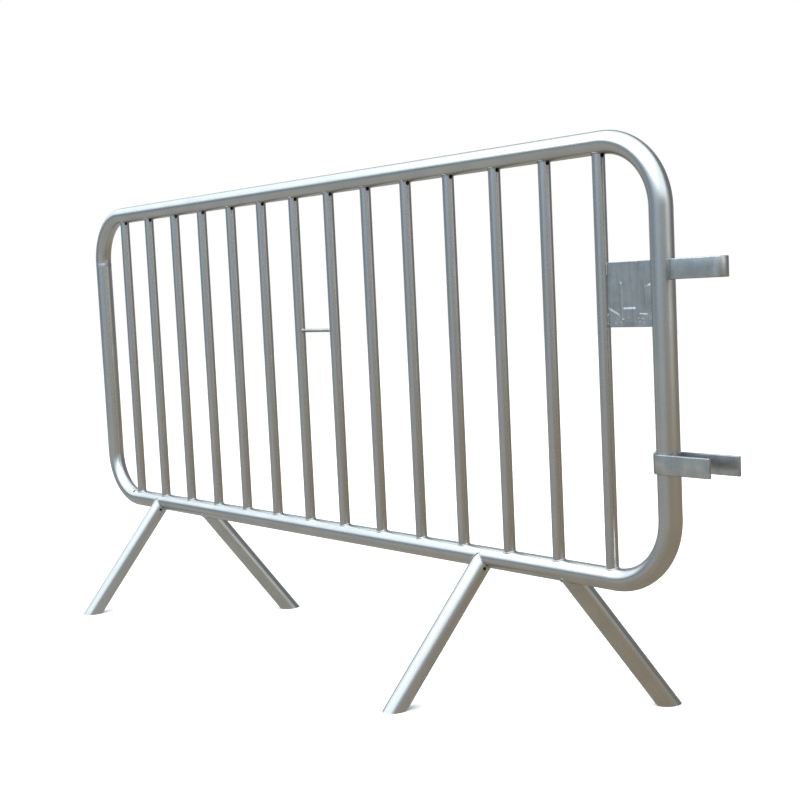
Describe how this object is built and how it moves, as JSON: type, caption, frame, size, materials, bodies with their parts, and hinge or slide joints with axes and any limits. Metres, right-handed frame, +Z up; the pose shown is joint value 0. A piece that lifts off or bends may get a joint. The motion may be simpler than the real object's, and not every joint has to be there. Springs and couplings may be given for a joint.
{
  "type": "crowd control barrier",
  "caption": "Fixed-leg galvanised crowd barrier: a bent round tube frame with upright infill bars, splayed tube legs, and a hook and slotted clip that link it to the next barrier.",
  "frame": {"origin": "on the ground, at the middle of the whole barrier's outline seen from above, its hook and feet included", "axes": "+X along the panel towards the end with the hook and the clip, +Y to the rear, away from the side where the plate reads, +Z up"},
  "size_m": [2.1168, 0.4328, 1.0999],
  "materials": {
    "zinc_tube": "hot-dip galvanised, dull silver grey with a fine spangle",
    "zinc_bar": "hot-dip galvanised, slightly duller than the frame",
    "zinc_flat": "hot-dip galvanised flat bar and sheet, with zinc runs",
    "zinc_weld": "rough weld bead under the zinc"
  },
  "bodies": {
    "root": {"frame_tube": "zinc_tube", "frame_butt_weld": "zinc_weld", "infill_bar_01": "zinc_bar", "infill_bar_02": "zinc_bar", "infill_bar_03": "zinc_bar", "infill_bar_04": "zinc_bar", "infill_bar_05": "zinc_bar", "infill_bar_06": "zinc_bar", "infill_bar_07": "zinc_bar", "infill_bar_08": "zinc_bar", "infill_bar_09": "zinc_bar", "infill_bar_10": "zinc_bar", "infill_bar_11": "zinc_bar", "infill_bar_12": "zinc_bar", "infill_bar_13": "zinc_bar", "infill_bar_14": "zinc_bar", "bar_welds_top": "zinc_weld", "bar_welds_bottom": "zinc_weld", "cross_pin": "zinc_bar", "cross_pin_welds": "zinc_weld", "id_plate": "zinc_flat", "id_plate_welds": "zinc_weld", "coupling_clip": "zinc_flat", "coupling_clip_welds": "zinc_weld", "coupling_hook": "zinc_flat", "coupling_hook_weld": "zinc_weld", "leg_front_left": "zinc_tube", "leg_rear_left": "zinc_tube", "leg_front_right": "zinc_tube", "leg_rear_right": "zinc_tube", "leg_welds": "zinc_weld"}
  },
  "joints": []
}
